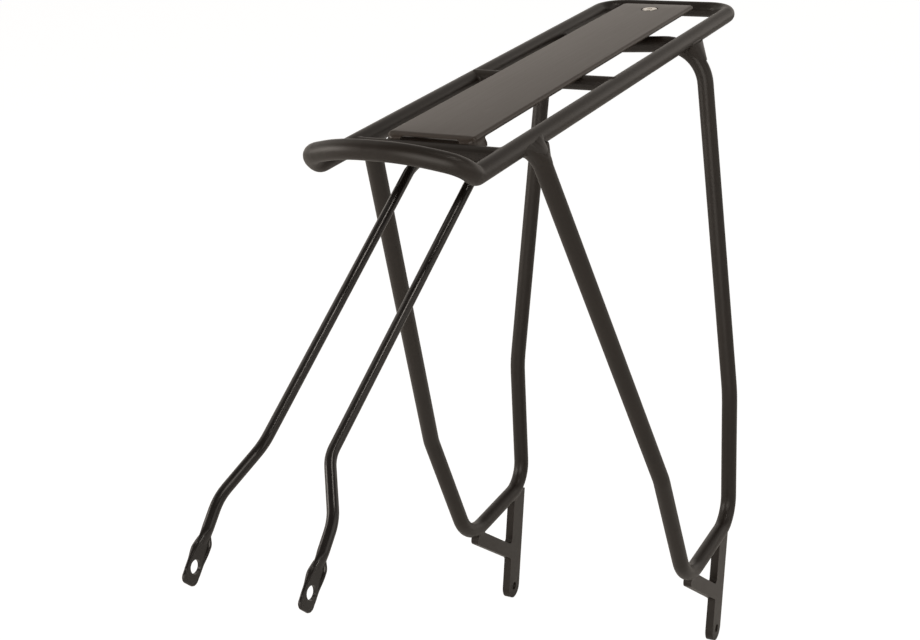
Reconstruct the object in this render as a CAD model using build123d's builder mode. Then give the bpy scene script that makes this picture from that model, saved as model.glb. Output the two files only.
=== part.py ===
"""Rear rack for a bicycle: welded deck and legs, pressed top plate, two hinged front stays.

Millimetres. +X is forward, +Y is the left side, +Z is up, and the deck is level. The origin is
halfway between the two dropout eyelets, on their common axis.
"""
import os
from math import atan2, cos, radians, sin, tan

from build123d import *

os.makedirs("parts", exist_ok=True)

sides = {"left": 1, "right": -1}

# ---- deck: one loop of tube with an upturned, bowed front end, and two cross tubes ----
tube_radius = 5.0
deck_height = 387.4
rear_bar_x = -139.0
rear_half_width = 44.8
rail_end_x = 245.0
front_half_width = 42.4
rear_corner_radius = 17.0
lip_angle = 37.8
lip_length = 12.1
lip_bend_radius = 8.0
front_corner_radius = 14.0
front_bow = 12.0
bow_half_width = 17.4
bow_radius = 58.0
cross_tube_radius = 4.2
front_tube_x = 211.5
middle_tube_x = 71.0

# ---- legs: the rear pair is one hoop, and the front legs butt against its two feet ----
leg_plane_y = 76.3
hoop_crown_x = -53.0
hoop_crown_drop = 5.6
hoop_corner_x = -52.5
hoop_corner_y = 52.4
hoop_corner_drop = 3.0
hoop_corner_radius = 26.0
rear_bend_x = -32.5
rear_bend_height = 160.0
rear_bend_radius = 120.0
rear_foot_x = -29.7
rear_foot_radius = 18.0
front_leg_top_x = 187.8
front_leg_top_y = 47.4
front_bend_x = 96.6
front_bend_height = 160.0
front_bend_radius = 40.0
front_foot_x = 57.5
front_foot_radius = 32.0
foot_height = 68.3
foot_stub_length = 1.0

# ---- flared weld at the head of each leg ----
flare_half_length = 10.0
flare_half_width = 4.8
flare_shift = 1.8
flare_top_drop = 2.0
flare_bottom_drop = 13.0
flare_bottom_radius = 4.6

# ---- dropout brackets ----
bracket_thickness = 5.2
bracket_plane_y = 75.1
eyelet_radius = 2.75
bar_width = 16.6
bar_lean = 14.6
arm_width = 9.6
arm_angle = 37.9
arm_root_height = 23.2
arm_tip_drop = 2.4
arm_tip_radius = 3.5
inner_corner_radius = 2.5

# ---- top plate, its screw and the tongue under it ----
plate_half_width = 24.8
plate_front_x = 209.8
plate_rear_x = -118.5
plate_thickness = 1.6
plate_lift = 5.5
plate_corner_radius = 4.0
plate_edge_radius = 1.9
side_flange_depth = 2.2
lip_flange_depth = 6.0
flange_taper_length = 5.0
slot_half_width = 17.0
slot_top_drop = 1.8
slot_corner_radius = 1.2
slot_backing_setback = 8.0
screw_x = -101.2
screw_radius = 2.45
screw_hole_radius = 2.75
screw_head_radius = 4.75
screw_head_height = 0.9
screw_recess_radius = 5.6
screw_recess_depth = 0.7
screw_end_past_nut = 1.0
socket_across_flats = 3.0
socket_depth = 0.6
tongue_width = 16.0
tongue_thickness = 3.0

# ---- front stays: rod with a sideways jog and flattened, drilled ends ----
stay_radius = 2.75
stay_top_y = 18.1
stay_bend_y = 17.5
pivot_x = 189.2
pivot_drop = 9.7
stay_angle = 28.57
stay_upper_length = 186.3
jog_forward = 21.0
jog_outward = 12.5
jog_drop = 18.5
first_bend_radius = 21.0
second_bend_radius = 26.0
tip_angle = 43.6
tip_reach = 32.5
flat_thickness = 1.8
flat_width = 10.6
flat_edge_radius = 0.7
flat_past_hole = 2.4
flat_before_hole = 7.5
neck_length = 8.0
neck_overlap = 3.0
neck_half_width = 4.4
neck_half_thickness = 0.8
tip_hole_radius = 3.3
tip_twist_angles = {"left": 7.0, "right": 6.0}
eye_width = 9.0
eye_before_hole = 3.0

# ---- stay pivots ----
pivot_bolt_radius = 2.45
pivot_hole_radius = 2.53
running_gap = 0.25
lug_thickness = 3.0
lug_radius = 4.6
lug_root_radius = 3.5
washer_radius = 4.5
washer_thickness = 1.0
bolt_head_radius = 4.2
bolt_head_height = 2.8
hex_key_across_flats = 3.0
hex_key_depth = 1.6
nut_across_flats = 8.0
nut_height = 4.0
bolt_end_past_nut = 1.5

# ---- places worked out from the sizes above ----
rail_taper = (rear_half_width - front_half_width) / (rail_end_x - rear_bar_x)
plate_underside = deck_height + plate_lift
plate_top = plate_underside + plate_thickness
lip_run = lip_length * cos(radians(lip_angle))
lip_rise = lip_length * sin(radians(lip_angle))
bow_run = front_bow * cos(radians(lip_angle))
bow_rise = front_bow * sin(radians(lip_angle))
foot_turn = atan2(front_bend_height - foot_height, front_bend_x - front_foot_x)
foot_joint_x = front_foot_x - front_foot_radius * tan(foot_turn / 2) - foot_stub_length
pivot_height = deck_height - pivot_drop
eye_y = stay_top_y - stay_radius + flat_thickness / 2
corner_per_flat = 1 / 3**0.5


def rail_y(x):
    """Distance of a rail's centre line from the plane of symmetry, at the distance x."""
    return front_half_width + rail_taper * (rail_end_x - x)


# ---- deck loop: half of it swept, then mirrored ----
with BuildPart() as deck_loop:
    with BuildLine() as half_loop:
        FilletPolyline(
            (rear_bar_x, 0, deck_height),
            (rear_bar_x, rear_half_width, deck_height),
            (rail_end_x, front_half_width, deck_height),
            (rail_end_x + lip_run, front_half_width, deck_height + lip_rise),
            (rail_end_x + lip_run + bow_run, bow_half_width, deck_height + lip_rise + bow_rise),
            (rail_end_x + lip_run + bow_run, 0, deck_height + lip_rise + bow_rise),
            radius=[rear_corner_radius, lip_bend_radius, front_corner_radius, bow_radius],
        )
    with BuildSketch(Plane(origin=half_loop.line @ 0, z_dir=half_loop.line % 0)):
        Circle(tube_radius)
    sweep()
    split(bisect_by=Plane.XZ, keep=Keep.BOTTOM)
    mirror(about=Plane.XZ)

deck_loop.part.label = "deck_loop"
export_step(deck_loop.part, "parts/deck_loop.step")

# ---- front cross tube, between the rails at deck level ----
with BuildPart() as front_cross_tube:
    with BuildSketch(Plane.XZ):
        with Locations((front_tube_x, deck_height)):
            Circle(cross_tube_radius)
    extrude(amount=rail_y(front_tube_x), both=True)
    add(deck_loop.part, mode=Mode.SUBTRACT)

front_cross_tube.part.label = "front_cross_tube"
export_step(front_cross_tube.part, "parts/front_cross_tube.step")

# ---- middle cross tube, raised so that the plate rests on it ----
with BuildPart() as middle_cross_tube:
    with BuildSketch(Plane.XZ):
        with Locations((middle_tube_x, plate_underside - cross_tube_radius)):
            Circle(cross_tube_radius)
    extrude(amount=rail_y(middle_tube_x), both=True)
    add(deck_loop.part, mode=Mode.SUBTRACT)

middle_cross_tube.part.label = "middle_cross_tube"
export_step(middle_cross_tube.part, "parts/middle_cross_tube.step")


# ---- flared weld: an oval against the rail that narrows onto the leg ----
def flare_sections(top_x, top_y, bottom_x, bottom_y):
    """Two sketches of the flare of a leg, the oval near the rail and the circle on the leg."""
    with BuildSketch(Plane.XY.offset(deck_height - flare_top_drop)) as oval:
        with Locations((top_x - flare_shift, top_y)):
            Ellipse(flare_half_length, flare_half_width)
    with BuildSketch(Plane.XY.offset(deck_height - flare_bottom_drop)) as circle:
        with Locations((bottom_x, bottom_y)):
            Circle(flare_bottom_radius)
    return [oval.sketch, circle.sketch]


# ---- rear hoop: both rear legs, the arch that carries the rails, and both feet ----
hoop_flare_y = hoop_corner_y - flare_shift
with BuildPart() as rear_hoop:
    with BuildLine() as half_hoop:
        FilletPolyline(
            (hoop_crown_x, 0, deck_height - hoop_crown_drop),
            (hoop_corner_x, hoop_corner_y, deck_height - hoop_corner_drop),
            (rear_bend_x, leg_plane_y, rear_bend_height),
            (rear_foot_x, leg_plane_y, foot_height),
            (foot_joint_x, leg_plane_y, foot_height),
            radius=[hoop_corner_radius, rear_bend_radius, rear_foot_radius],
        )
    with BuildSketch(Plane(origin=half_hoop.line @ 1, z_dir=half_hoop.line % 1)):
        Circle(tube_radius)
    sweep()
    split(bisect_by=Plane.XZ, keep=Keep.BOTTOM)
    loft(flare_sections(hoop_corner_x, rail_y(hoop_corner_x) + flare_shift, hoop_corner_x, hoop_flare_y))
    mirror(about=Plane.XZ)
    add(deck_loop.part, mode=Mode.SUBTRACT)

rear_hoop.part.label = "rear_hoop"
export_step(rear_hoop.part, "parts/rear_hoop.step")

# ---- front legs: coped to the rail, trimmed outside it, and butted to the foot of the hoop ----
lean_x = (front_leg_top_x - front_bend_x) / (deck_height - front_bend_height)
lean_y = (leg_plane_y - front_leg_top_y) / (deck_height - front_bend_height)
with BuildPart() as front_leg_left:
    with BuildLine() as leg_line:
        FilletPolyline(
            (foot_joint_x, leg_plane_y, foot_height),
            (front_foot_x, leg_plane_y, foot_height),
            (front_bend_x, leg_plane_y, front_bend_height),
            (front_leg_top_x, front_leg_top_y, deck_height),
            radius=[front_foot_radius, front_bend_radius],
        )
    with BuildSketch(Plane(origin=leg_line.line @ 0, z_dir=leg_line.line % 0)):
        Circle(tube_radius)
    sweep()
    loft(
        flare_sections(
            front_leg_top_x - lean_x * flare_top_drop,
            front_leg_top_y,
            front_leg_top_x - lean_x * flare_bottom_drop,
            front_leg_top_y + lean_y * flare_bottom_drop,
        )
    )
    split(
        bisect_by=Plane(
            origin=(0, rail_y(front_leg_top_x) + tube_radius, deck_height), z_dir=(0, 1, 1)
        ),
        keep=Keep.BOTTOM,
    )
    add(deck_loop.part, mode=Mode.SUBTRACT)

front_leg_left.part.label = "front_leg_left"
export_step(front_leg_left.part, "parts/front_leg_left.step")

with BuildPart() as front_leg_right:
    add(front_leg_left.part.mirror(Plane.XZ))

front_leg_right.part.label = "front_leg_right"
export_step(front_leg_right.part, "parts/front_leg_right.step")

# ---- dropout brackets: leaning bar with the eyelet, and a rising arm that leaves a window open ----
bar_length = foot_height / cos(radians(bar_lean))
arm_root = (-arm_root_height * tan(radians(bar_lean)), arm_root_height)
arm_length = (foot_height - arm_tip_drop - arm_root_height) / sin(radians(arm_angle))
for side, sign in sides.items():
    foot = front_leg_left if sign > 0 else front_leg_right
    with BuildPart() as dropout_bracket:
        with BuildSketch(
            Plane(origin=(0, sign * bracket_plane_y, 0), x_dir=(1, 0, 0), z_dir=(0, -1, 0))
        ) as outline:
            Circle(bar_width / 2)
            with Locations(Location((0, 0, 0), (0, 0, 90 + bar_lean))):
                Rectangle(bar_length, bar_width, align=(Align.MIN, Align.CENTER))
            with Locations(Location((*arm_root, 0), (0, 0, arm_angle))):
                Rectangle(arm_length, arm_width, align=(Align.MIN, Align.CENTER))
            fillet(outline.vertices().sort_by_distance((*arm_root, 0))[:2], inner_corner_radius)
            fillet(outline.vertices().sort_by(Axis.X)[-2:], arm_tip_radius)
            Circle(eyelet_radius, mode=Mode.SUBTRACT)
        extrude(amount=bracket_thickness / 2, both=True)
        add(rear_hoop.part, mode=Mode.SUBTRACT)
        add(foot.part, mode=Mode.SUBTRACT)

    dropout_bracket.part.label = f"dropout_bracket_{side}"
    export_step(dropout_bracket.part, f"parts/dropout_bracket_{side}.step")

# ---- rear tongue: strip welded to the rear bar, round at its free end ----
with BuildPart() as rear_tongue:
    with BuildSketch(Plane.XY.offset(plate_underside - tongue_thickness)):
        with Locations(((rear_bar_x + screw_x) / 2, 0)):
            Rectangle(screw_x - rear_bar_x, tongue_width)
        with Locations((screw_x, 0)):
            Circle(tongue_width / 2)
            Circle(screw_radius, mode=Mode.SUBTRACT)
    extrude(amount=tongue_thickness)
    add(deck_loop.part, mode=Mode.SUBTRACT)
    split(bisect_by=Plane.YZ.offset(rear_bar_x), keep=Keep.TOP)

rear_tongue.part.label = "rear_tongue"
export_step(rear_tongue.part, "parts/rear_tongue.step")

# ---- top plate: pressed tray with a turned-down edge, and a deeper front lip with a slot in it ----
def tray_block(inset):
    """Block with rounded upper edges, the outside of the tray moved inward by the inset."""
    with BuildPart() as block:
        with BuildSketch(Plane.XY.offset(plate_top - lip_flange_depth)):
            with Locations(((plate_front_x + plate_rear_x) / 2, 0)):
                Rectangle(plate_front_x - plate_rear_x - 2 * inset, 2 * (plate_half_width - inset))
        extrude(amount=lip_flange_depth - inset)
        fillet(block.edges().filter_by(Axis.Z), plate_corner_radius - inset)
        fillet(block.faces().sort_by(Axis.Z)[-1].edges(), plate_edge_radius - inset)
    return block.part


tray_outside = tray_block(0)
tray_inside = tray_block(plate_thickness)
with BuildPart() as top_plate:
    add(tray_outside)
    add(tray_inside, mode=Mode.SUBTRACT)
    with BuildSketch(Plane.XZ):
        with BuildLine():
            Polyline(
                (plate_rear_x - side_flange_depth, plate_top - 2 * lip_flange_depth),
                (plate_rear_x - side_flange_depth, plate_top - side_flange_depth),
                (plate_front_x - flange_taper_length, plate_top - side_flange_depth),
                (plate_front_x - plate_thickness, plate_top - lip_flange_depth),
                (plate_front_x - plate_thickness, plate_top - 2 * lip_flange_depth),
                close=True,
            )
        make_face()
    extrude(amount=2 * plate_half_width, both=True, mode=Mode.SUBTRACT)
    with BuildSketch(Plane.YZ.offset(plate_front_x)) as slot:
        with Locations((0, plate_top - slot_top_drop)):
            Rectangle(2 * slot_half_width, lip_flange_depth, align=(Align.CENTER, Align.MAX))
        fillet(slot.vertices().group_by(Axis.Z)[-1], slot_corner_radius)
    extrude(amount=2 * plate_thickness, both=True, mode=Mode.SUBTRACT)
    with BuildSketch(Plane.YZ.offset(plate_front_x - slot_backing_setback)):
        with Locations((0, plate_underside)):
            Rectangle(
                2 * (slot_half_width + plate_thickness),
                lip_flange_depth - plate_thickness,
                align=(Align.CENTER, Align.MAX),
            )
    extrude(amount=-plate_thickness)
    with Locations((screw_x, 0, plate_top)):
        CounterBoreHole(screw_hole_radius, screw_recess_radius, screw_recess_depth, 2 * plate_thickness)
    add(front_cross_tube.part, mode=Mode.SUBTRACT)
    add(middle_cross_tube.part, mode=Mode.SUBTRACT)
    add(rear_tongue.part, mode=Mode.SUBTRACT)

top_plate.part.label = "top_plate"
export_step(top_plate.part, "parts/top_plate.step")

# ---- plate screw: low flat head with a hexagon socket ----
screw_seat = plate_top - screw_recess_depth
screw_length = screw_seat - (plate_underside - tongue_thickness - nut_height - screw_end_past_nut)
with BuildPart() as plate_screw:
    with BuildSketch(Plane.XY.offset(screw_seat)):
        with Locations((screw_x, 0)):
            Circle(screw_head_radius)
    extrude(amount=screw_head_height)
    chamfer(plate_screw.edges().group_by(Axis.Z)[-1], screw_head_height / 3)
    with BuildSketch(Plane.XY.offset(screw_seat)):
        with Locations((screw_x, 0)):
            Circle(screw_radius)
    extrude(amount=-screw_length)
    with BuildSketch(Plane.XY.offset(screw_seat + screw_head_height)):
        with Locations((screw_x, 0)):
            RegularPolygon(socket_across_flats * corner_per_flat, 6)
    extrude(amount=-socket_depth, mode=Mode.SUBTRACT)

plate_screw.part.label = "plate_screw"
export_step(plate_screw.part, "parts/plate_screw.step")

# ---- its nut, under the tongue ----
with BuildPart() as plate_nut:
    with BuildSketch(Plane.XY.offset(plate_underside - tongue_thickness)):
        with Locations((screw_x, 0)):
            RegularPolygon(nut_across_flats * corner_per_flat, 6)
            Circle(screw_radius, mode=Mode.SUBTRACT)
    extrude(amount=-nut_height)

plate_nut.part.label = "plate_nut"
export_step(plate_nut.part, "parts/plate_nut.step")

# ---- front stays: bent rod, hammered flat and drilled at both ends ----
slope = Vector(cos(radians(stay_angle)), 0, -sin(radians(stay_angle)))
tip_slope = Vector(cos(radians(tip_angle)), 0, -sin(radians(tip_angle)))
tip_rise = Vector(sin(radians(tip_angle)), 0, cos(radians(tip_angle)))


def flat_end(plane, before, past, width, hole_radius):
    """Hammered flat with its hole at the plane's origin; the rod comes in from the -X side."""
    with BuildPart() as flat:
        with BuildSketch(plane):
            with Locations(((past - before) / 2, 0)):
                SlotCenterToCenter(before + past, width)
        extrude(amount=flat_thickness / 2, both=True)
        fillet(flat.edges(), flat_edge_radius)
        with BuildSketch(plane):
            Circle(hole_radius)
        extrude(amount=flat_thickness, both=True, mode=Mode.SUBTRACT)
    return flat.part


for side, sign in sides.items():
    across = Vector(0, sign, 0)
    pivot = Vector(pivot_x, sign * eye_y, pivot_height)
    rod_origin = Vector(pivot_x, sign * stay_top_y, pivot_height)
    first_bend = Vector(pivot_x, sign * stay_bend_y, pivot_height) + slope * stay_upper_length
    second_bend = first_bend + Vector(jog_forward, sign * jog_outward, -jog_drop)
    tip_hole = second_bend + tip_slope * tip_reach
    tip_twist = radians(tip_twist_angles[side])
    tip_normal = Vector(0, cos(tip_twist), 0) + tip_rise * sin(tip_twist)
    neck_start = eye_before_hole + eye_width / 2 - neck_overlap
    eye_start = pivot + slope * neck_start
    rod_start = rod_origin + slope * (neck_start + neck_length)
    tip_start = tip_hole - tip_slope * (flat_before_hole + flat_width / 2 - neck_overlap)
    rod_end = tip_start - tip_slope * neck_length
    eye = flat_end(
        Plane(origin=pivot, x_dir=-slope, z_dir=across), eye_before_hole, 0, eye_width, pivot_hole_radius
    )
    tip = flat_end(
        Plane(origin=tip_hole, x_dir=tip_slope, z_dir=tip_normal),
        flat_before_hole,
        flat_past_hole,
        flat_width,
        tip_hole_radius,
    )

    with BuildPart() as stay:
        with BuildLine() as rod_line:
            FilletPolyline(
                rod_start, first_bend, second_bend, rod_end, radius=[first_bend_radius, second_bend_radius]
            )
        with BuildSketch(Plane(origin=rod_start, x_dir=across, z_dir=rod_line.line % 0)) as rod_section:
            Circle(stay_radius)
        sweep()
        with BuildSketch(Plane(origin=eye_start, x_dir=across, z_dir=slope)) as eye_neck:
            Ellipse(neck_half_thickness, neck_half_width)
        loft([eye_neck.sketch, rod_section.sketch])
        with BuildSketch(Plane(origin=rod_end, x_dir=tip_normal, z_dir=tip_slope)) as rod_end_section:
            Circle(stay_radius)
        with BuildSketch(Plane(origin=tip_start, x_dir=tip_normal, z_dir=tip_slope)) as tip_neck:
            Ellipse(neck_half_thickness, neck_half_width)
        loft([rod_end_section.sketch, tip_neck.sketch])
        add(eye)
        add(tip)

    stay.part.label = f"stay_{side}"
    export_step(stay.part, f"parts/stay_{side}.step")

    # lug under the front cross tube, on the inner side of the stay's eye
    lug_outer_y = eye_y - flat_thickness / 2 - running_gap
    with BuildPart() as stay_lug:
        with BuildSketch(Plane(origin=(0, sign * lug_outer_y, 0), x_dir=(1, 0, 0), z_dir=(0, -sign, 0))):
            with Locations((pivot_x, sign * pivot_height)):
                Circle(lug_radius)
            with Locations((front_tube_x, sign * (deck_height - cross_tube_radius))):
                Circle(lug_root_radius)
            make_hull()
            with Locations((pivot_x, sign * pivot_height)):
                Circle(pivot_bolt_radius, mode=Mode.SUBTRACT)
        extrude(amount=lug_thickness)
        add(front_cross_tube.part, mode=Mode.SUBTRACT)

    stay_lug.part.label = f"stay_lug_{side}"
    export_step(stay_lug.part, f"parts/stay_lug_{side}.step")

    # washer on the outer side of the eye
    washer_y = eye_y + flat_thickness / 2 + running_gap
    with BuildPart() as stay_washer:
        with BuildSketch(Plane(origin=(pivot_x, sign * washer_y, pivot_height), z_dir=across)):
            Circle(washer_radius)
            Circle(pivot_bolt_radius, mode=Mode.SUBTRACT)
        extrude(amount=washer_thickness)
        washer_rims = stay_washer.edges().filter_by(GeomType.CIRCLE).group_by(SortBy.RADIUS)[-1]
        chamfer(washer_rims, washer_thickness / 5)

    stay_washer.part.label = f"stay_washer_{side}"
    export_step(stay_washer.part, f"parts/stay_washer_{side}.step")

    # pivot bolt: socket head outside the washer, shank through washer, eye, lug and nut
    bolt_seat_y = washer_y + washer_thickness
    nut_end_y = lug_outer_y - lug_thickness - nut_height
    with BuildPart() as pivot_bolt:
        with BuildSketch(Plane(origin=(pivot_x, sign * bolt_seat_y, pivot_height), z_dir=across)):
            Circle(bolt_head_radius)
        extrude(amount=bolt_head_height)
        fillet(pivot_bolt.edges().sort_by_distance(pivot)[-1], bolt_head_height / 4)
        with BuildSketch(
            Plane(origin=(pivot_x, sign * (bolt_seat_y + bolt_head_height), pivot_height), z_dir=across)
        ):
            RegularPolygon(hex_key_across_flats * corner_per_flat, 6)
        extrude(amount=-hex_key_depth, mode=Mode.SUBTRACT)
        with BuildSketch(Plane(origin=(pivot_x, sign * bolt_seat_y, pivot_height), z_dir=across)):
            Circle(pivot_bolt_radius)
        extrude(amount=-(bolt_seat_y - nut_end_y + bolt_end_past_nut))

    pivot_bolt.part.label = f"pivot_bolt_{side}"
    export_step(pivot_bolt.part, f"parts/pivot_bolt_{side}.step")

    # nut on the inner side of the lug
    with BuildPart() as pivot_nut:
        with BuildSketch(Plane(origin=(pivot_x, sign * nut_end_y, pivot_height), z_dir=across)):
            RegularPolygon(nut_across_flats * corner_per_flat, 6)
            Circle(pivot_bolt_radius, mode=Mode.SUBTRACT)
        extrude(amount=nut_height)

    pivot_nut.part.label = f"pivot_nut_{side}"
    export_step(pivot_nut.part, f"parts/pivot_nut_{side}.step")
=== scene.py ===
"""Rear rack for a bicycle, dressed for rendering: coated rod, pressed plate and hinged stays.

Metres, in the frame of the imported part: +X forward, +Y to the left side, +Z up, and the origin
halfway between the two dropout eyelets.
"""
import math

import bmesh
import bpy
from mathutils import Matrix, Vector
from mathutils.bvhtree import BVHTree


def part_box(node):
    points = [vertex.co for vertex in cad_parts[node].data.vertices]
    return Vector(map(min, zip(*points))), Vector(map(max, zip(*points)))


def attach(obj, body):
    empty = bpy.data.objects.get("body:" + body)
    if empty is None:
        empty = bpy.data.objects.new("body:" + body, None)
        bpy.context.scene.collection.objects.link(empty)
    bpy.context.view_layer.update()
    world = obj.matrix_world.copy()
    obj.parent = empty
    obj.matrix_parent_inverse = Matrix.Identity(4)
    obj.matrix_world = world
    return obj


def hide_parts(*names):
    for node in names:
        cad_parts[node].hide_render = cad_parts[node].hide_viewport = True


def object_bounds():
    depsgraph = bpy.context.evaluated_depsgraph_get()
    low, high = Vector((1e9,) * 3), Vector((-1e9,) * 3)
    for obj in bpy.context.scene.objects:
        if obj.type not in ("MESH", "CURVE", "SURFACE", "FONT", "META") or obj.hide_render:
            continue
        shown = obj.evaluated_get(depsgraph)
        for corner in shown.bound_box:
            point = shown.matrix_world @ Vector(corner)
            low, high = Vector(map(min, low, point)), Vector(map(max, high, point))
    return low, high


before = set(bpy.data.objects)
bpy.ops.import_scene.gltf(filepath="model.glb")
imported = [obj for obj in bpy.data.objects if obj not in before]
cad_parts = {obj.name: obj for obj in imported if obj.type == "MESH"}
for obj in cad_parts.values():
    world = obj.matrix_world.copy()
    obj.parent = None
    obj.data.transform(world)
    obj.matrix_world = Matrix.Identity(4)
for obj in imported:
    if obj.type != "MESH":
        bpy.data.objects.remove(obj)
cad_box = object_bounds()
mm = 0.001

# ---- Camera ------------------------------------------------------------------------------------
# The photograph is taken from in front, from the left and above, about 0.8 m from the deck's front
# end, with a long lens and the camera tilted a few degrees to the side.
image_width_px = 920
sensor_width = 36.0
focal_px = 1597.15
camera_place = Vector((0.8816, 0.3703, 0.60407))
camera_aim = Vector((0.06384, -0.0676, 0.23061))
camera_roll = math.radians(-3.876)

camera_data = bpy.data.cameras.new("camera")
camera_data.sensor_width = sensor_width
camera_data.lens = focal_px * sensor_width / image_width_px
camera_data.clip_start = 0.01
camera = bpy.data.objects.new("camera", camera_data)
look = (camera_aim - camera_place).to_track_quat("-Z", "Y").to_matrix()
roll = Matrix.Rotation(camera_roll, 3, "Z")
camera.matrix_world = Matrix.Translation(camera_place) @ (look @ roll).to_4x4()
bpy.context.scene.collection.objects.link(camera)
bpy.context.scene.camera = camera
bpy.context.scene.view_settings.view_transform = "Standard"


# ---- Studio: floor, surrounding light and lamps ---------------------------------------------------
# A white sweep under and behind the rack and a darker ceiling over it. Softboxes in front and to both
# sides light the tubes, and a strip and a soft lamp overhead draw the stays' long highlights.
def linear(hex_colour):
    """An sRGB hex colour as linear red, green, blue and alpha."""
    channels = [int(hex_colour[i : i + 2], 16) / 255 for i in (1, 3, 5)]
    return [c / 12.92 if c <= 0.04045 else ((c + 0.055) / 1.055) ** 2.4 for c in channels] + [1.0]


def add_node(tree, kind, inputs=None, **settings):
    """Adds a node with its settings. Each input takes a value or another node's output."""
    node = tree.nodes.new(kind)
    for name, value in settings.items():
        setattr(node, name, value)
    for socket, value in (inputs or {}).items():
        if isinstance(value, bpy.types.NodeSocket):
            tree.links.new(value, node.inputs[socket])
        else:
            node.inputs[socket].default_value = value
    return node


def empty_tree(owner):
    """The emptied node tree of a material or world."""
    owner.use_nodes = True
    owner.node_tree.nodes.clear()
    return owner.node_tree


floor_size = 5.0
floor_colour = "#f4f3f1"
floor_shadow_share = 0.25
floor_glow = 1.24
light_colour = "#fff6ec"
backdrop_strength = 1.0
camera_side_strength = 0.5
camera_side_ends = -0.6
backdrop_starts = 0.7
ceiling_share = 0.3
ceiling_starts = math.sin(math.radians(7))
ceiling_full = math.sin(math.radians(31))
lamps_aim_at = Vector((0.05, 0, 0.25))

floor_material = bpy.data.materials.new("white_painted_sweep")
tree = empty_tree(floor_material)
seen = add_node(tree, "ShaderNodeLightPath")
painted = add_node(tree, "ShaderNodeBsdfDiffuse", {"Color": linear(floor_colour)})
white = add_node(tree, "ShaderNodeEmission", {"Color": linear("#ffffff"), "Strength": floor_glow})
white_share = add_node(
    tree,
    "ShaderNodeMath",
    {0: seen.outputs["Is Camera Ray"], 1: 1 - floor_shadow_share},
    operation="MULTIPLY",
)
floor_mix = add_node(
    tree, "ShaderNodeMixShader", {0: white_share.outputs[0], 1: painted.outputs[0], 2: white.outputs[0]}
)
add_node(tree, "ShaderNodeOutputMaterial", {"Surface": floor_mix.outputs[0]})

bpy.ops.mesh.primitive_plane_add(size=floor_size, location=(0, 0, cad_box[0][2]))
floor = bpy.context.object
floor.name = "floor"
floor.data.materials.append(floor_material)

world = bpy.data.worlds.new("studio")
bpy.context.scene.world = world
tree = empty_tree(world)
direction = add_node(tree, "ShaderNodeTexCoord")
away = (camera_aim - camera_place).normalized()
beyond = add_node(
    tree,
    "ShaderNodeVectorMath",
    {0: direction.outputs["Generated"], 1: (away.x, away.y, 0)},
    operation="DOT_PRODUCT",
)
side_light = add_node(
    tree,
    "ShaderNodeMapRange",
    {
        "Value": beyond.outputs["Value"],
        "From Min": camera_side_ends,
        "From Max": backdrop_starts,
        "To Min": camera_side_strength,
        "To Max": backdrop_strength,
    },
    interpolation_type="SMOOTHSTEP",
)
height = add_node(tree, "ShaderNodeSeparateXYZ", {0: direction.outputs["Generated"]})
ceiling = add_node(
    tree,
    "ShaderNodeMapRange",
    {
        "Value": height.outputs["Z"],
        "From Min": ceiling_starts,
        "From Max": ceiling_full,
        "To Min": 1.0,
        "To Max": ceiling_share,
    },
    interpolation_type="SMOOTHSTEP",
)
strength = add_node(
    tree, "ShaderNodeMath", {0: side_light.outputs[0], 1: ceiling.outputs[0]}, operation="MULTIPLY"
)
surroundings = add_node(
    tree, "ShaderNodeBackground", {"Color": linear(light_colour), "Strength": strength.outputs[0]}
)
backdrop = add_node(tree, "ShaderNodeBackground", {"Color": linear("#ffffff"), "Strength": 1.0})
seen = add_node(tree, "ShaderNodeLightPath")
world_mix = add_node(
    tree,
    "ShaderNodeMixShader",
    {0: seen.outputs["Is Camera Ray"], 1: surroundings.outputs[0], 2: backdrop.outputs[0]},
)
add_node(tree, "ShaderNodeOutputWorld", {"Surface": world_mix.outputs[0]})

for name, place, size, watts in (
    ("front_softbox", Vector((1.7, 0.4, 0.75)), 1.2, 12.0),
    ("left_softbox", Vector((0.2, 1.8, 1.0)), 1.4, 4.5),
    ("right_softbox", Vector((1.0, -1.5, 0.7)), 0.9, 11.0),
    ("overhead_strip", Vector((0.08, 0.68, 1.62)), 0.3, 2.6),
    ("overhead_softbox", Vector((-0.05, -1.1, 1.35)), 1.0, 2.0),
):
    lamp = bpy.data.lights.new(name, "AREA")
    lamp.size = size
    lamp.energy = watts
    lamp.color = linear(light_colour)[:3]
    lamp_object = bpy.data.objects.new(name, lamp)
    aim = (lamps_aim_at - place).to_track_quat("-Z", "Y")
    lamp_object.matrix_world = Matrix.Translation(place) @ aim.to_matrix().to_4x4()
    bpy.context.scene.collection.objects.link(lamp_object)

# ---- Deck, cross tubes, hoop, legs and brackets: coated aluminium rod -------------------------------
# Bent aluminium rod and cut plate, welded and then sprayed with satin black polyester powder. The
# baked coat is a warm brown black: it glints softly, with a faint orange peel and no metal colour.
coat_dark = "#130e0a"
coat_light = "#1f1812"
coat_roughness = (0.36, 0.46)
cloud_size = 40 * mm
# the real orange peel is under a millimetre wide and wouldn't show, so it is drawn wider
orange_peel_size = 2.4 * mm
orange_peel_depth = 0.03 * mm
coated_nodes = [
    "deck_loop",
    "front_cross_tube",
    "middle_cross_tube",
    "rear_hoop",
    "front_leg_left",
    "front_leg_right",
    "dropout_bracket_left",
    "dropout_bracket_right",
    "stay_lug_left",
    "stay_lug_right",
]

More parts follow.
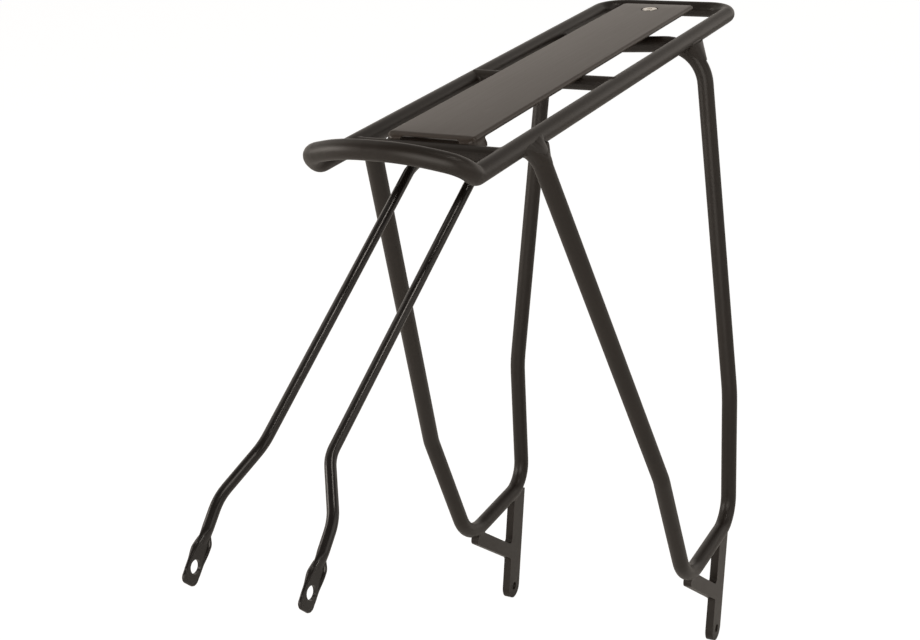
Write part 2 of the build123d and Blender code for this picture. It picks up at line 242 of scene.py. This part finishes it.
powder_coat = bpy.data.materials.new("satin_black_powder_coat")
tree = empty_tree(powder_coat)
place = add_node(tree, "ShaderNodeTexCoord").outputs["Object"]
clouds = add_node(tree, "ShaderNodeTexNoise", {"Vector": place, "Scale": 1 / cloud_size, "Detail": 3.0})
shade = add_node(
    tree,
    "ShaderNodeMix",
    {0: clouds.outputs[0], 6: linear(coat_dark), 7: linear(coat_light)},
    data_type="RGBA",
)
sheen_change = add_node(
    tree,
    "ShaderNodeMapRange",
    {"Value": clouds.outputs[0], "To Min": coat_roughness[0], "To Max": coat_roughness[1]},
)
peel = add_node(
    tree, "ShaderNodeTexNoise", {"Vector": place, "Scale": 1 / orange_peel_size, "Detail": 2.0}
)
peel_bump = add_node(
    tree, "ShaderNodeBump", {"Height": peel.outputs[0], "Strength": 0.6, "Distance": orange_peel_depth}
)
coat = add_node(
    tree,
    "ShaderNodeBsdfPrincipled",
    {
        "Base Color": shade.outputs[2],
        "Roughness": sheen_change.outputs[0],
        "Normal": peel_bump.outputs[0],
        "IOR": 1.46,
    },
)
add_node(tree, "ShaderNodeOutputMaterial", {"Surface": coat.outputs[0]})


def finish_nodes(names, material):
    """Gives CAD nodes their finish."""
    for name in names:
        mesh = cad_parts[name].data
        mesh.materials.clear()
        mesh.materials.append(material)


finish_nodes(coated_nodes, powder_coat)

# ---- Weld fillets --------------------------------------------------------------------------------
# Each leg, cross tube, bracket and lug is joined by a run of filler rod laid round its coped end.
# Dressed and coated with the frame it is a smooth hollow fillet, with only faint ripples left.
hoop_fillet = 3.2 * mm
bracket_fillet = 2.2 * mm
tube_fillet = 1.6 * mm
weld_ripple = 0.05 * mm
weld_pitch = 1.6 * mm
weld_step = 0.4 * mm
fillet_points = 7
shortest_run = 6 * mm
seat_tolerance = 0.16 * mm
buried = 0.06 * mm
smoothing_passes = 6
fewest_steps = 4
height_at_ends = 0.25
same_place = 0.001 * mm
welded_pairs = [
    ("rear_hoop", "deck_loop", hoop_fillet),
    ("front_cross_tube", "deck_loop", tube_fillet),
    ("middle_cross_tube", "deck_loop", tube_fillet),
    ("dropout_bracket_left", "rear_hoop", bracket_fillet),
    ("dropout_bracket_right", "rear_hoop", bracket_fillet),
    ("dropout_bracket_left", "front_leg_left", bracket_fillet),
    ("dropout_bracket_right", "front_leg_right", bracket_fillet),
    ("stay_lug_left", "front_cross_tube", tube_fillet),
    ("stay_lug_right", "front_cross_tube", tube_fillet),
]


def surface_of(mesh):
    """A mesh as a surface on which the nearest place can be found."""
    return BVHTree.FromPolygons([v.co for v in mesh.vertices], [p.vertices[:] for p in mesh.polygons])


def into_face(face, edge):
    """Unit vector in a face, square to one of its edges and pointing away from it."""
    start, end = (v.co for v in edge.verts)
    inward = face.calc_center_median() - start
    along = (end - start).normalized()
    return (inward - along * inward.dot(along)).normalized()


def seam_edges(piece_name, neighbour_surface):
    """Edges where a piece's coped face meets its open faces: the two ends of each, and the
    directions that lead from it along the neighbour and along the piece."""
    piece = bmesh.new()
    piece.from_mesh(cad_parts[piece_name].data)
    bmesh.ops.remove_doubles(piece, verts=piece.verts, dist=same_place)

    def lies_on_neighbour(face):
        places = [v.co for v in face.verts] + [face.calc_center_median()]
        return all(neighbour_surface.find_nearest(p, seat_tolerance)[0] is not None for p in places)

    seated = {face for face in piece.faces if lies_on_neighbour(face)}
    edges = []
    for edge in piece.edges:
        sides = sorted(edge.link_faces, key=lambda face: face in seated)
        if len(sides) == 2 and sides[0] not in seated and sides[1] in seated:
            ends = [(v.index, v.co.copy()) for v in edge.verts]
            edges.append((ends, -into_face(sides[1], edge), into_face(sides[0], edge)))
    piece.free()
    return edges


def seam_runs(edges):
    """Joins seam edges end to end into runs of (place, way along neighbour, way along piece)."""
    points, nexts = {}, {}
    for ((a, place_a), (b, place_b)), on_neighbour, on_piece in edges:
        for index, place in ((a, place_a), (b, place_b)):
            known = points.setdefault(index, [place, Vector(), Vector()])
            known[1] = known[1] + on_neighbour
            known[2] = known[2] + on_piece
        nexts.setdefault(a, []).append(b)
        nexts.setdefault(b, []).append(a)
    runs = []
    while nexts:
        ends = [v for v in nexts if len(nexts[v]) == 1]
        at = ends[0] if ends else next(iter(nexts))
        run = [at]
        while nexts.get(at):
            following = nexts[at].pop()
            nexts[following].remove(at)
            run.append(following)
            at = following
        nexts = {v: others for v, others in nexts.items() if others}
        runs.append([points[v] for v in run])
    return runs


def run_length(run):
    """Length of a run of points."""
    return sum((b[0] - a[0]).length for a, b in zip(run, run[1:]))


def even_steps(run):
    """A run with its points spaced evenly, and its places and directions smoothed along it."""
    lengths = [0.0]
    for a, b in zip(run, run[1:]):
        lengths.append(lengths[-1] + (b[0] - a[0]).length)
    count = max(fewest_steps, round(lengths[-1] / weld_step))
    spaced, at = [], 0
    for i in range(count + 1):
        wanted = lengths[-1] * i / count
        while at < len(run) - 2 and lengths[at + 1] < wanted:
            at += 1
        share = (wanted - lengths[at]) / max(lengths[at + 1] - lengths[at], same_place)
        spaced.append([a.lerp(b, share) for a, b in zip(run[at], run[at + 1])])
    closed = (run[0][0] - run[-1][0]).length < weld_step / 4
    for _ in range(smoothing_passes):
        if closed:
            before, after = spaced[-2:-1] + spaced[:-1], spaced[1:] + spaced[1:2]
        else:
            before, after = spaced[:1] + spaced[:-1], spaced[1:] + spaced[-1:]
        spaced = [
            [p + (a + b - p * 2) / 4 for a, p, b in zip(*around)] for around in zip(before, spaced, after)
        ]
    return spaced, closed


def lay_fillet(weld, run, size, neighbour_surface, piece_surface):
    """Adds a hollow fillet along a seam: each cross-section is a curve tangent to both pieces."""
    points, closed = even_steps(run)
    rows = []
    for i, (place, on_neighbour, on_piece) in enumerate(points):
        to_end = min(i, len(points) - 1 - i) * weld_step
        reach = size if closed else size * min(1.0, height_at_ends + to_end / (2 * size))
        ends = []
        for surface, way in ((neighbour_surface, on_neighbour), (piece_surface, on_piece)):
            foot, normal, _, _ = surface.find_nearest(place + way.normalized() * reach)
            ends.append(foot - normal * buried)
        lift = (ends[0] + ends[1]) / 2 - place
        ripple = weld_ripple * math.sin(math.tau * i * weld_step / weld_pitch)
        middle = place + lift.normalized() * ripple
        row = []
        for k in range(fillet_points):
            t = k / (fillet_points - 1)
            row.append(weld.verts.new(ends[0] * (1 - t) ** 2 + middle * 2 * t * (1 - t) + ends[1] * t**2))
        rows.append(row)
    if closed:
        rows.append(rows[0])
    for row, following in zip(rows, rows[1:]):
        for k in range(fillet_points - 1):
            weld.faces.new((row[k], row[k + 1], following[k + 1], following[k]))


def link_piece(name, shape, material):
    """Makes a smooth-shaded piece of the frame from a finished bmesh."""
    for face in shape.faces:
        face.smooth = True
    mesh = bpy.data.meshes.new(name)
    shape.to_mesh(mesh)
    shape.free()
    mesh.materials.append(material)
    piece = bpy.data.objects.new(name, mesh)
    bpy.context.scene.collection.objects.link(piece)
    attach(piece, "frame")
    return piece


for piece_name, neighbour_name, size in welded_pairs:
    neighbour_surface = surface_of(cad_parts[neighbour_name].data)
    piece_surface = surface_of(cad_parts[piece_name].data)
    weld = bmesh.new()
    for run in seam_runs(seam_edges(piece_name, neighbour_surface)):
        if run_length(run) > shortest_run:
            lay_fillet(weld, run, size, neighbour_surface, piece_surface)
    link_piece(f"weld_{piece_name}_to_{neighbour_name}", weld, powder_coat)

# The front legs' heads overlap the outside of the rail, so their fillet is a saddle that runs up the
# rail's side to a point and closes smoothly round the head of the leg.
deck_height = 387.4 * mm
rod_radius = 5.0 * mm
leg_head = Vector((187.8, 47.4, 387.4)) * mm
leg_bend = Vector((96.6, 76.3, 160.0)) * mm
saddle_columns = 64
saddle_rows = 10
saddle_below = 10 * mm
saddle_fullness = 1.5 * mm
saddle_spread = 6.0 * mm
saddle_rise = 1.5 * mm
saddle_outer_loss = 0.5
search_depth = 22 * mm
search_step = 0.1 * mm
trim_slope = 0.7
trim_clearance = 0.3 * mm

rail_surface = surface_of(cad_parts["deck_loop"].data)
down_leg = (leg_bend - leg_head).normalized()
forward = (Vector((1, 0, 0)) - down_leg * down_leg.x).normalized()
outward = forward.cross(down_leg)
outward = outward if outward.y > 0 else -outward


def depth_of_corner(generator):
    """How far down the leg a line on its surface leaves the rail, or the trimmed head beside it."""
    depth = search_depth
    while depth > 0:
        point = leg_head + generator * rod_radius + down_leg * depth
        foot, normal, _, _ = rail_surface.find_nearest(point)
        beyond_trim = (point.y - foot.y) * trim_slope + (point.z - deck_height) > -trim_clearance
        if (point - foot).dot(normal) < 0 or beyond_trim:
            break
        depth -= search_step
    return depth


half_saddle = []
for i in range(saddle_columns):
    turn = math.tau * i / saddle_columns
    generator = forward * math.cos(turn) + outward * math.sin(turn)
    outer_share = max(0.0, generator.y)
    corner = leg_head + generator * (rod_radius + saddle_fullness) + down_leg * depth_of_corner(generator)
    low = leg_head + generator * rod_radius + down_leg * (depth_of_corner(generator) + saddle_below)
    foot, normal, _, _ = rail_surface.find_nearest(corner)
    away = generator - down_leg * 2 * outer_share
    away = (away - normal * away.dot(normal)).normalized()
    reach = saddle_spread * (1 - saddle_outer_loss * outer_share) + saddle_rise * outer_share
    high, normal, _, _ = rail_surface.find_nearest(foot + away * reach)
    high = high - normal * buried
    low = low - generator * buried
    half_saddle.append(
        [
            high * (1 - t) ** 2 + corner * 2 * t * (1 - t) + low * t**2
            for t in [k / (saddle_rows - 1) for k in range(saddle_rows)]
        ]
    )

for side, sign in (("left", 1), ("right", -1)):
    saddle = bmesh.new()
    columns = [[saddle.verts.new((p.x, sign * p.y, p.z)) for p in column] for column in half_saddle]
    for column, following in zip(columns, columns[1:] + columns[:1]):
        for k in range(saddle_rows - 1):
            saddle.faces.new((column[k], column[k + 1], following[k + 1], following[k]))
    bmesh.ops.recalc_face_normals(saddle, faces=saddle.faces)
    link_piece(f"weld_front_leg_{side}_to_rail", saddle, powder_coat)

# ---- Tongue under the plate's rear end ---------------------------------------------------------------
# A strip of aluminium welded to the front of the rear bar, joggled up under the plate and rounded
# at its free end, where the screw passes through. It is coated with the frame.
tongue_low, tongue_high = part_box("rear_tongue")
bar_middle_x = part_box("deck_loop")[0].x + rod_radius
tongue_thickness = 3.0 * mm
joggle_drop = 4.2 * mm
joggle_start = 24 * mm
joggle_length = 9 * mm
tongue_rows = 24
tongue_softening = 0.4 * mm
tongue_end_half_width = 0.3 * mm
softened_from_angle = 1.0


def smooth_share(value, start, end):
    """Goes smoothly from 0 at the start to 1 at the end."""
    share = min(max((value - start) / (end - start), 0.0), 1.0)
    return share * share * (3 - 2 * share)


half_width = (tongue_high.y - tongue_low.y) / 2
strip_length = tongue_high.x - bar_middle_x
strip = bmesh.new()
top_rows = []
for i in range(tongue_rows + 1):
    along = strip_length * (1 - math.cos(math.pi * i / tongue_rows)) / 2
    from_round = max(0.0, half_width - along)
    half = max(math.sqrt(max(half_width**2 - from_round**2, 0.0)), tongue_end_half_width)
    drop = joggle_drop * smooth_share(along - joggle_start, 0, joggle_length)
    x = tongue_high.x - along
    top_rows.append([strip.verts.new((x, side * half, tongue_high.z - drop)) for side in (-1, 1)])
for row, following in zip(top_rows, top_rows[1:]):
    strip.faces.new((row[0], following[0], following[1], row[1]))
sheet = bmesh.ops.extrude_face_region(strip, geom=strip.faces[:])
for element in sheet["geom"]:
    if isinstance(element, bmesh.types.BMVert):
        element.co.z -= tongue_thickness
bmesh.ops.recalc_face_normals(strip, faces=strip.faces)
sharp = [
    edge for edge in strip.edges if edge.is_manifold and edge.calc_face_angle() > softened_from_angle
]
bmesh.ops.bevel(strip, geom=sharp, offset=tongue_softening, segments=2, affect="EDGES")
tongue = link_piece("joggled_tongue", strip, powder_coat)
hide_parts("rear_tongue")

# ---- Top plate -------------------------------------------------------------------------------------
# A tray pressed from aluminium sheet, its edges turned down, blasted and coated in satin dark grey.
# It is paler and flatter than the tubes, with faint lengthwise rolling lines and a few rub marks.
sheet_dark = "#2b231d"
sheet_light = "#362d26"
rub_colour = "#48423c"
sheet_roughness = (0.33, 0.41)
# the real rolling lines are far finer than a pixel, so they are drawn a millimetre and a half apart
rolling_line_gap = 1.5 * mm
rolling_line_length = 60 * mm
blast_grain_size = 1.2 * mm
blast_grain_depth = 0.02 * mm
rub_length = 26 * mm
rub_width = 5 * mm
rub_turn = 0.35
rub_starts = 0.62
rub_full = 0.8
rub_strength = 0.5

sheet_coat = bpy.data.materials.new("satin_grey_coated_sheet")
tree = empty_tree(sheet_coat)
place = add_node(tree, "ShaderNodeTexCoord").outputs["Object"]
along_sheet = add_node(
    tree,
    "ShaderNodeMapping",
    {"Vector": place, "Scale": (1 / rolling_line_length, 1 / rolling_line_gap, 1 / rolling_line_gap)},
)
rolling = add_node(
    tree, "ShaderNodeTexNoise", {"Vector": along_sheet.outputs[0], "Scale": 1.0, "Detail": 2.0}
)
shade = add_node(
    tree,
    "ShaderNodeMix",
    {0: rolling.outputs[0], 6: linear(sheet_dark), 7: linear(sheet_light)},
    data_type="RGBA",
)
along_rub = add_node(
    tree,
    "ShaderNodeMapping",
    {
        "Vector": place,
        "Rotation": (0, 0, rub_turn),
        "Scale": (1 / rub_length, 1 / rub_width, 1 / rub_width),
    },
)
rubs = add_node(tree, "ShaderNodeTexNoise", {"Vector": along_rub.outputs[0], "Scale": 1.0, "Detail": 4.0})
rub_share = add_node(
    tree,
    "ShaderNodeMapRange",
    {
        "Value": rubs.outputs[0],
        "From Min": rub_starts,
        "From Max": rub_full,
        "To Min": 0.0,
        "To Max": rub_strength,
    },
)
rubbed = add_node(
    tree,
    "ShaderNodeMix",
    {0: rub_share.outputs[0], 6: shade.outputs[2], 7: linear(rub_colour)},
    data_type="RGBA",
)
sheen_change = add_node(
    tree,
    "ShaderNodeMapRange",
    {"Value": rolling.outputs[0], "To Min": sheet_roughness[0], "To Max": sheet_roughness[1]},
)
blast = add_node(
    tree, "ShaderNodeTexNoise", {"Vector": place, "Scale": 1 / blast_grain_size, "Detail": 3.0}
)
blast_bump = add_node(
    tree, "ShaderNodeBump", {"Height": blast.outputs[0], "Strength": 0.5, "Distance": blast_grain_depth}
)
coat = add_node(
    tree,
    "ShaderNodeBsdfPrincipled",
    {
        "Base Color": rubbed.outputs[2],
        "Roughness": sheen_change.outputs[0],
        "Normal": blast_bump.outputs[0],
        "IOR": 1.5,
    },
)
add_node(tree, "ShaderNodeOutputMaterial", {"Surface": coat.outputs[0]})
finish_nodes(["top_plate"], sheet_coat)

# ---- Shape of the pressed tray -----------------------------------------------------------------------
# The press rolls the tray's front down over a wide soft bend and turns the other edges down short.
# Towards the front the edge deepens into two ears beside a slot, and a strip closes the slot behind.
plate_low, plate_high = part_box("top_plate")
sheet_thickness = 1.6 * mm
plan_corner_radius = 4.0 * mm
side_roll = (1.9 * mm, 1.9 * mm)
front_roll = (5.0 * mm, 3.2 * mm)
side_flange_depth = 2.2 * mm
ear_depth = plate_high.z - plate_low.z
ear_length = 10.0 * mm
ear_slant = 3.0 * mm
slot_half_width = 17.0 * mm
slot_lip_depth = 1.3 * mm
slot_corner = 1.6 * mm
ear_flare = 2.4 * mm
backing_setback = 8.0 * mm
screw_x = -101.2 * mm
recess_radius = 5.6 * mm
recess_floor_radius = 2.6 * mm
recess_depth = 0.7 * mm
roll_steps = 8
flange_steps = 3
plan_step = 1.2 * mm
corner_steps = 10
recess_steps = 40
merge_distance = 0.005 * mm
sharp_from_angle = math.radians(40)


def plan_of_tray():
    """The tray's outer edge seen from above: places, and unit vectors that point outward."""
    low_x, high_x = plate_low.x + plan_corner_radius, plate_high.x - plan_corner_radius
    half_y = plate_high.y - plan_corner_radius
    corners = [(high_x, half_y, 0), (low_x, half_y, 1), (low_x, -half_y, 2), (high_x, -half_y, 3)]
    plan = []
    for x, y, quarter in corners:
        for i in range(corner_steps + 1):
            turn = math.pi / 2 * (quarter + i / corner_steps)
            outward = Vector((math.cos(turn), math.sin(turn), 0))
            plan.append((Vector((x, y, 0)) + outward * plan_corner_radius, outward))
        next_x, next_y, _ = corners[(quarter + 1) % 4]
        start, outward = plan[-1]
        end = Vector((next_x, next_y, 0)) + outward * plan_corner_radius
        count = math.ceil((end - start).length / plan_step)
        plan += [(start.lerp(end, i / count), outward) for i in range(1, count)]
    return plan


def depth_of_edge(place):
    """How far down the turned edge reaches at a place on the tray's outline."""
    from_front = plate_high.x - place.x
    ear = side_flange_depth + (ear_depth - side_flange_depth) * (
        1 - smooth_share(from_front, ear_length, ear_length + ear_slant)
    )
    in_slot = 1 - smooth_share(abs(place.y), slot_half_width - slot_corner, slot_half_width + slot_corner)
    at_front = from_front < ear_length / 2
    return ear + (slot_lip_depth - ear) * in_slot if at_front else ear


def ring_round_screw(radius, drop):
    """A ring of points round the screw, at a depth below the top of the plate."""
    turns = [math.tau * i / recess_steps for i in range(recess_steps)]
    return [
        tray.verts.new((screw_x + radius * math.cos(turn), radius * math.sin(turn), plate_high.z - drop))
        for turn in turns
    ]


tray = bmesh.new()
outer_columns, inner_columns = [], []
for place, outward in plan_of_tray():
    frontness = max(0.0, outward.x) ** 2
    extra_run = (front_roll[0] - side_roll[0]) * frontness
    roll_drop = side_roll[1] + (front_roll[1] - side_roll[1]) * frontness
    depth = depth_of_edge(place)
    roll_end = math.acos(max(0.0, 1 - depth / roll_drop))
    flare = ear_flare * smooth_share(depth, side_flange_depth, ear_depth) * abs(outward.y)
    outer, inner = [], []
    for k in range(roll_steps + flange_steps + 1):
        turn = roll_end * min(k / roll_steps, 1.0)
        below_roll = max(k - roll_steps, 0) / flange_steps
        short_of_edge = 1 - math.sin(turn)
        inset = outward * (side_roll[0] * short_of_edge - flare * below_roll**2)
        inset.x += extra_run * short_of_edge
        drop = roll_drop * (1 - math.cos(turn)) + max(depth - roll_drop, 0.0) * below_roll
        point = place - inset + Vector((0, 0, plate_high.z - drop))
        normal = outward * math.sin(turn) + Vector((0, 0, math.cos(turn)))
        outer.append(tray.verts.new(point))
        inner.append(tray.verts.new(point - normal * sheet_thickness))
    outer_columns.append(outer)
    inner_columns.append(inner)
for columns in (outer_columns, inner_columns):
    for column, following in zip(columns, columns[1:] + columns[:1]):
        for k in range(roll_steps + flange_steps):
            tray.faces.new((column[k], column[k + 1], following[k + 1], following[k]))
outer_rim = [column[-1] for column in outer_columns]
inner_rim = [column[-1] for column in inner_columns]
for i in range(len(outer_rim)):
    tray.faces.new((outer_rim[i - 1], inner_rim[i - 1], inner_rim[i], outer_rim[i]))
recess = ring_round_screw(recess_radius, 0)
for columns, hole in ((outer_columns, recess), (inner_columns, [])):
    flat_edge = [column[0] for column in columns]
    bounds = [tray.edges.get(pair) for pair in zip(flat_edge, flat_edge[1:] + flat_edge[:1])]
    bounds += [tray.edges.new(pair) for pair in zip(hole, hole[1:] + hole[:1])]
    bmesh.ops.triangle_fill(tray, use_beauty=True, use_dissolve=False, edges=bounds, normal=(0, 0, 1))
dish = [
    ring_round_screw(recess_radius, 0),
    ring_round_screw(recess_radius, recess_depth),
    ring_round_screw(recess_floor_radius, recess_depth),
]
for ring, inner_ring in zip(dish, dish[1:]):
    for i in range(recess_steps):
        after = (i + 1) % recess_steps
        tray.faces.new((ring[i], ring[after], inner_ring[after], inner_ring[i]))
backing = bmesh.ops.create_cube(tray, size=1.0)["verts"]
backing_width = 2 * (plate_high.y - sheet_thickness)
backing_size = Vector((sheet_thickness, backing_width, ear_depth - sheet_thickness))
backing_middle = Vector(
    (plate_high.x - backing_setback - sheet_thickness / 2, 0, plate_low.z + backing_size.z / 2)
)
for vert in backing:
    vert.co = Vector([c * length for c, length in zip(vert.co, backing_size)]) + backing_middle
bmesh.ops.remove_doubles(tray, verts=tray.verts, dist=merge_distance)
bmesh.ops.recalc_face_normals(tray, faces=tray.faces)
tray_piece = link_piece("pressed_tray", tray, sheet_coat)
tray_piece.data.set_sharp_from_angle(angle=sharp_from_angle)
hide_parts("top_plate")

# ---- Plate screw and nut -----------------------------------------------------------------------------
# One low-head stainless screw with a hexagon socket, through plate and tongue, and its nut below.
# The head is turned on a lathe: bright metal with fine rings round its middle.
steel_dark = "#cbc6bf"
steel_light = "#f0ede8"
steel_roughness = (0.2, 0.34)
# the cutter's rings are a tenth of a millimetre apart in life; they are drawn at half a millimetre
turned_ring_gap = 0.5 * mm
ring_wobble = 0.6
# at scale 1 Blender's wave texture has 20 waves in the length of tau
waves_in_tau = 20

turned_steel = bpy.data.materials.new("turned_stainless_steel")
tree = empty_tree(turned_steel)
place = add_node(tree, "ShaderNodeTexCoord").outputs["Object"]
screw_low, screw_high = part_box("plate_screw")
screw_middle = (screw_low + screw_high) / 2
from_middle = add_node(
    tree,
    "ShaderNodeVectorMath",
    {0: place, 1: (screw_middle.x, screw_middle.y, screw_middle.z)},
    operation="SUBTRACT",
)
rings = add_node(
    tree,
    "ShaderNodeTexWave",
    {
        "Vector": from_middle.outputs[0],
        "Scale": math.tau / (waves_in_tau * turned_ring_gap),
        "Distortion": ring_wobble,
    },
    wave_type="RINGS",
    rings_direction="Z",
)
shade = add_node(
    tree,
    "ShaderNodeMix",
    {0: rings.outputs[1], 6: linear(steel_dark), 7: linear(steel_light)},
    data_type="RGBA",
)
sheen_change = add_node(
    tree,
    "ShaderNodeMapRange",
    {"Value": rings.outputs[1], "To Min": steel_roughness[0], "To Max": steel_roughness[1]},
)
steel = add_node(
    tree,
    "ShaderNodeBsdfPrincipled",
    {"Base Color": shade.outputs[2], "Roughness": sheen_change.outputs[0], "Metallic": 1.0},
)
add_node(tree, "ShaderNodeOutputMaterial", {"Surface": steel.outputs[0]})
finish_nodes(["plate_screw", "plate_nut"], turned_steel)

# ---- Front stays -----------------------------------------------------------------------------------
# Drawn steel rod, bent, its ends hammered flat and drilled, then dipped in black enamel. The enamel
# is blacker and glossier than the frame's coat, with long thin highlights and small sags.
enamel_dark = "#0d0a09"
enamel_light = "#1a1614"
enamel_roughness = (0.16, 0.3)
sag_size = 7 * mm
sag_depth = 0.05 * mm

dipped_enamel = bpy.data.materials.new("dipped_black_enamel")
tree = empty_tree(dipped_enamel)
place = add_node(tree, "ShaderNodeTexCoord").outputs["Object"]
sags = add_node(tree, "ShaderNodeTexNoise", {"Vector": place, "Scale": 1 / sag_size, "Detail": 2.0})
shade = add_node(
    tree,
    "ShaderNodeMix",
    {0: sags.outputs[0], 6: linear(enamel_dark), 7: linear(enamel_light)},
    data_type="RGBA",
)
sheen_change = add_node(
    tree,
    "ShaderNodeMapRange",
    {"Value": sags.outputs[0], "To Min": enamel_roughness[0], "To Max": enamel_roughness[1]},
)
sag_bump = add_node(
    tree, "ShaderNodeBump", {"Height": sags.outputs[0], "Strength": 0.5, "Distance": sag_depth}
)
enamel = add_node(
    tree,
    "ShaderNodeBsdfPrincipled",
    {
        "Base Color": shade.outputs[2],
        "Roughness": sheen_change.outputs[0],
        "Normal": sag_bump.outputs[0],
        "IOR": 1.5,
    },
)
add_node(tree, "ShaderNodeOutputMaterial", {"Surface": enamel.outputs[0]})
finish_nodes(["stay_left", "stay_right"], dipped_enamel)

# ---- Hammered rims of the stays' lower ends ------------------------------------------------------------
# The stay's end is crimped and hammered flat. That leaves a rim standing up round the edge, which
# squares off the end. It is part of the stay, under the same enamel.
tip_hole = Vector((397.35, 30.0, 247.693)) * mm
tip_angle = math.radians(43.6)
tip_twist = {"left": math.radians(7), "right": math.radians(6)}
tip_half_width = 5.3 * mm
tip_end = 8.4 * mm
end_corner_radius = 3.2 * mm
crimp_start = -18.0 * mm
crimp_half_width = 2.0 * mm
leaf_start = -9.0 * mm
ear_side_start = -10.5 * mm
plain_side_start = -6.0 * mm
rim_half_width = 1.0 * mm
rim_flat_height = 0.97 * mm
rim_leaf_height = 1.9 * mm
rim_fades_at = 0.0 * mm
crimp_rise_length = 5 * mm
rim_steps = 30
end_corner_steps = 10
rim_ring = 12


def edge_of_flat(widest_from):
    """Half of the flattened end's outline: distances along it and half widths, from crimp to end."""
    half = []
    for i in range(rim_steps + 1):
        along = crimp_start + (tip_end - end_corner_radius - crimp_start) * i / rim_steps
        share = smooth_share(along, crimp_start, widest_from)
        half.append((along, crimp_half_width + (tip_half_width - crimp_half_width) * share))
    for i in range(1, end_corner_steps + 1):
        turn = math.pi / 2 * i / end_corner_steps
        along = tip_end - end_corner_radius * (1 - math.sin(turn))
        half.append((along, tip_half_width - end_corner_radius * (1 - math.cos(turn))))
    return half


plain_side = [(along, -wide) for along, wide in edge_of_flat(plain_side_start)]
outline = edge_of_flat(ear_side_start) + plain_side[::-1]


def rim_height(along):
    """Half height of the rim: low at the crimp, highest on the leaf, level with the flat at the hole."""
    rise = min(max((along - crimp_start) / crimp_rise_length, 0.0), 1.0)
    fall = smooth_share(rim_fades_at - along, 0, rim_fades_at - leaf_start)
    return rim_flat_height + (rim_leaf_height - rim_flat_height) * min(rise, fall)


for side, sign in (("left", 1), ("right", -1)):
    down_tip = Vector((math.cos(tip_angle), 0, -math.sin(tip_angle)))
    up_tip = Vector((math.sin(tip_angle), 0, math.cos(tip_angle)))
    normal = Vector((0, math.cos(tip_twist[side]), 0)) + up_tip * math.sin(tip_twist[side])
    across_tip = normal.cross(down_tip)
    hole = Vector((tip_hole.x, sign * tip_hole.y, tip_hole.z))
    rim = bmesh.new()
    rings = []
    for i, (along, wide) in enumerate(outline):
        before = outline[max(i - 1, 0)]
        after = outline[min(i + 1, len(outline) - 1)]
        step = Vector((after[0] - before[0], after[1] - before[1])).normalized()
        inward = down_tip * step.y - across_tip * step.x
        middle = hole + down_tip * along + across_tip * wide + inward * rim_half_width
        height_here = rim_height(along)
        rings.append(
            [
                rim.verts.new(
                    middle
                    + inward * rim_half_width * math.cos(math.tau * k / rim_ring)
                    + normal * height_here * math.sin(math.tau * k / rim_ring)
                )
                for k in range(rim_ring)
            ]
        )
    for ring, following in zip(rings, rings[1:]):
        for k in range(rim_ring):
            after = (k + 1) % rim_ring
            rim.faces.new((ring[k], ring[after], following[after], following[k]))
    rim.faces.new(rings[0][::-1])
    rim.faces.new(rings[-1])
    bmesh.ops.recalc_face_normals(rim, faces=rim.faces)
    for face in rim.faces:
        face.smooth = True
    rim_mesh = bpy.data.meshes.new(f"stay_tip_rim_{side}")
    rim.to_mesh(rim_mesh)
    rim.free()
    rim_mesh.materials.append(dipped_enamel)
    rim_piece = bpy.data.objects.new(f"stay_tip_rim_{side}", rim_mesh)
    bpy.context.scene.collection.objects.link(rim_piece)
    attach(rim_piece, f"stay_{side}")

# ---- Stay pivots -----------------------------------------------------------------------------------
# Socket-head bolts, washers and nuts of steel, blackened in hot salts and oiled. The oxide is thin,
# so they stay metal: dark, a little blue, with paler specks where it is thinnest.
oxide_dark = "#1d1d20"
oxide_light = "#4b4a4c"
oxide_roughness = (0.3, 0.48)
speck_size = 0.8 * mm

black_oxide = bpy.data.materials.new("black_oxide_steel")
tree = empty_tree(black_oxide)
place = add_node(tree, "ShaderNodeTexCoord").outputs["Object"]
specks = add_node(tree, "ShaderNodeTexNoise", {"Vector": place, "Scale": 1 / speck_size, "Detail": 4.0})
shade = add_node(
    tree,
    "ShaderNodeMix",
    {0: specks.outputs[0], 6: linear(oxide_dark), 7: linear(oxide_light)},
    data_type="RGBA",
)
sheen_change = add_node(
    tree,
    "ShaderNodeMapRange",
    {"Value": specks.outputs[0], "To Min": oxide_roughness[0], "To Max": oxide_roughness[1]},
)
oxide = add_node(
    tree,
    "ShaderNodeBsdfPrincipled",
    {"Base Color": shade.outputs[2], "Roughness": sheen_change.outputs[0], "Metallic": 1.0},
)
add_node(tree, "ShaderNodeOutputMaterial", {"Surface": oxide.outputs[0]})
pivot_pieces = ["pivot_bolt", "stay_washer", "pivot_nut"]
finish_nodes([f"{piece}_{side}" for piece in pivot_pieces for side in ("left", "right")], black_oxide)
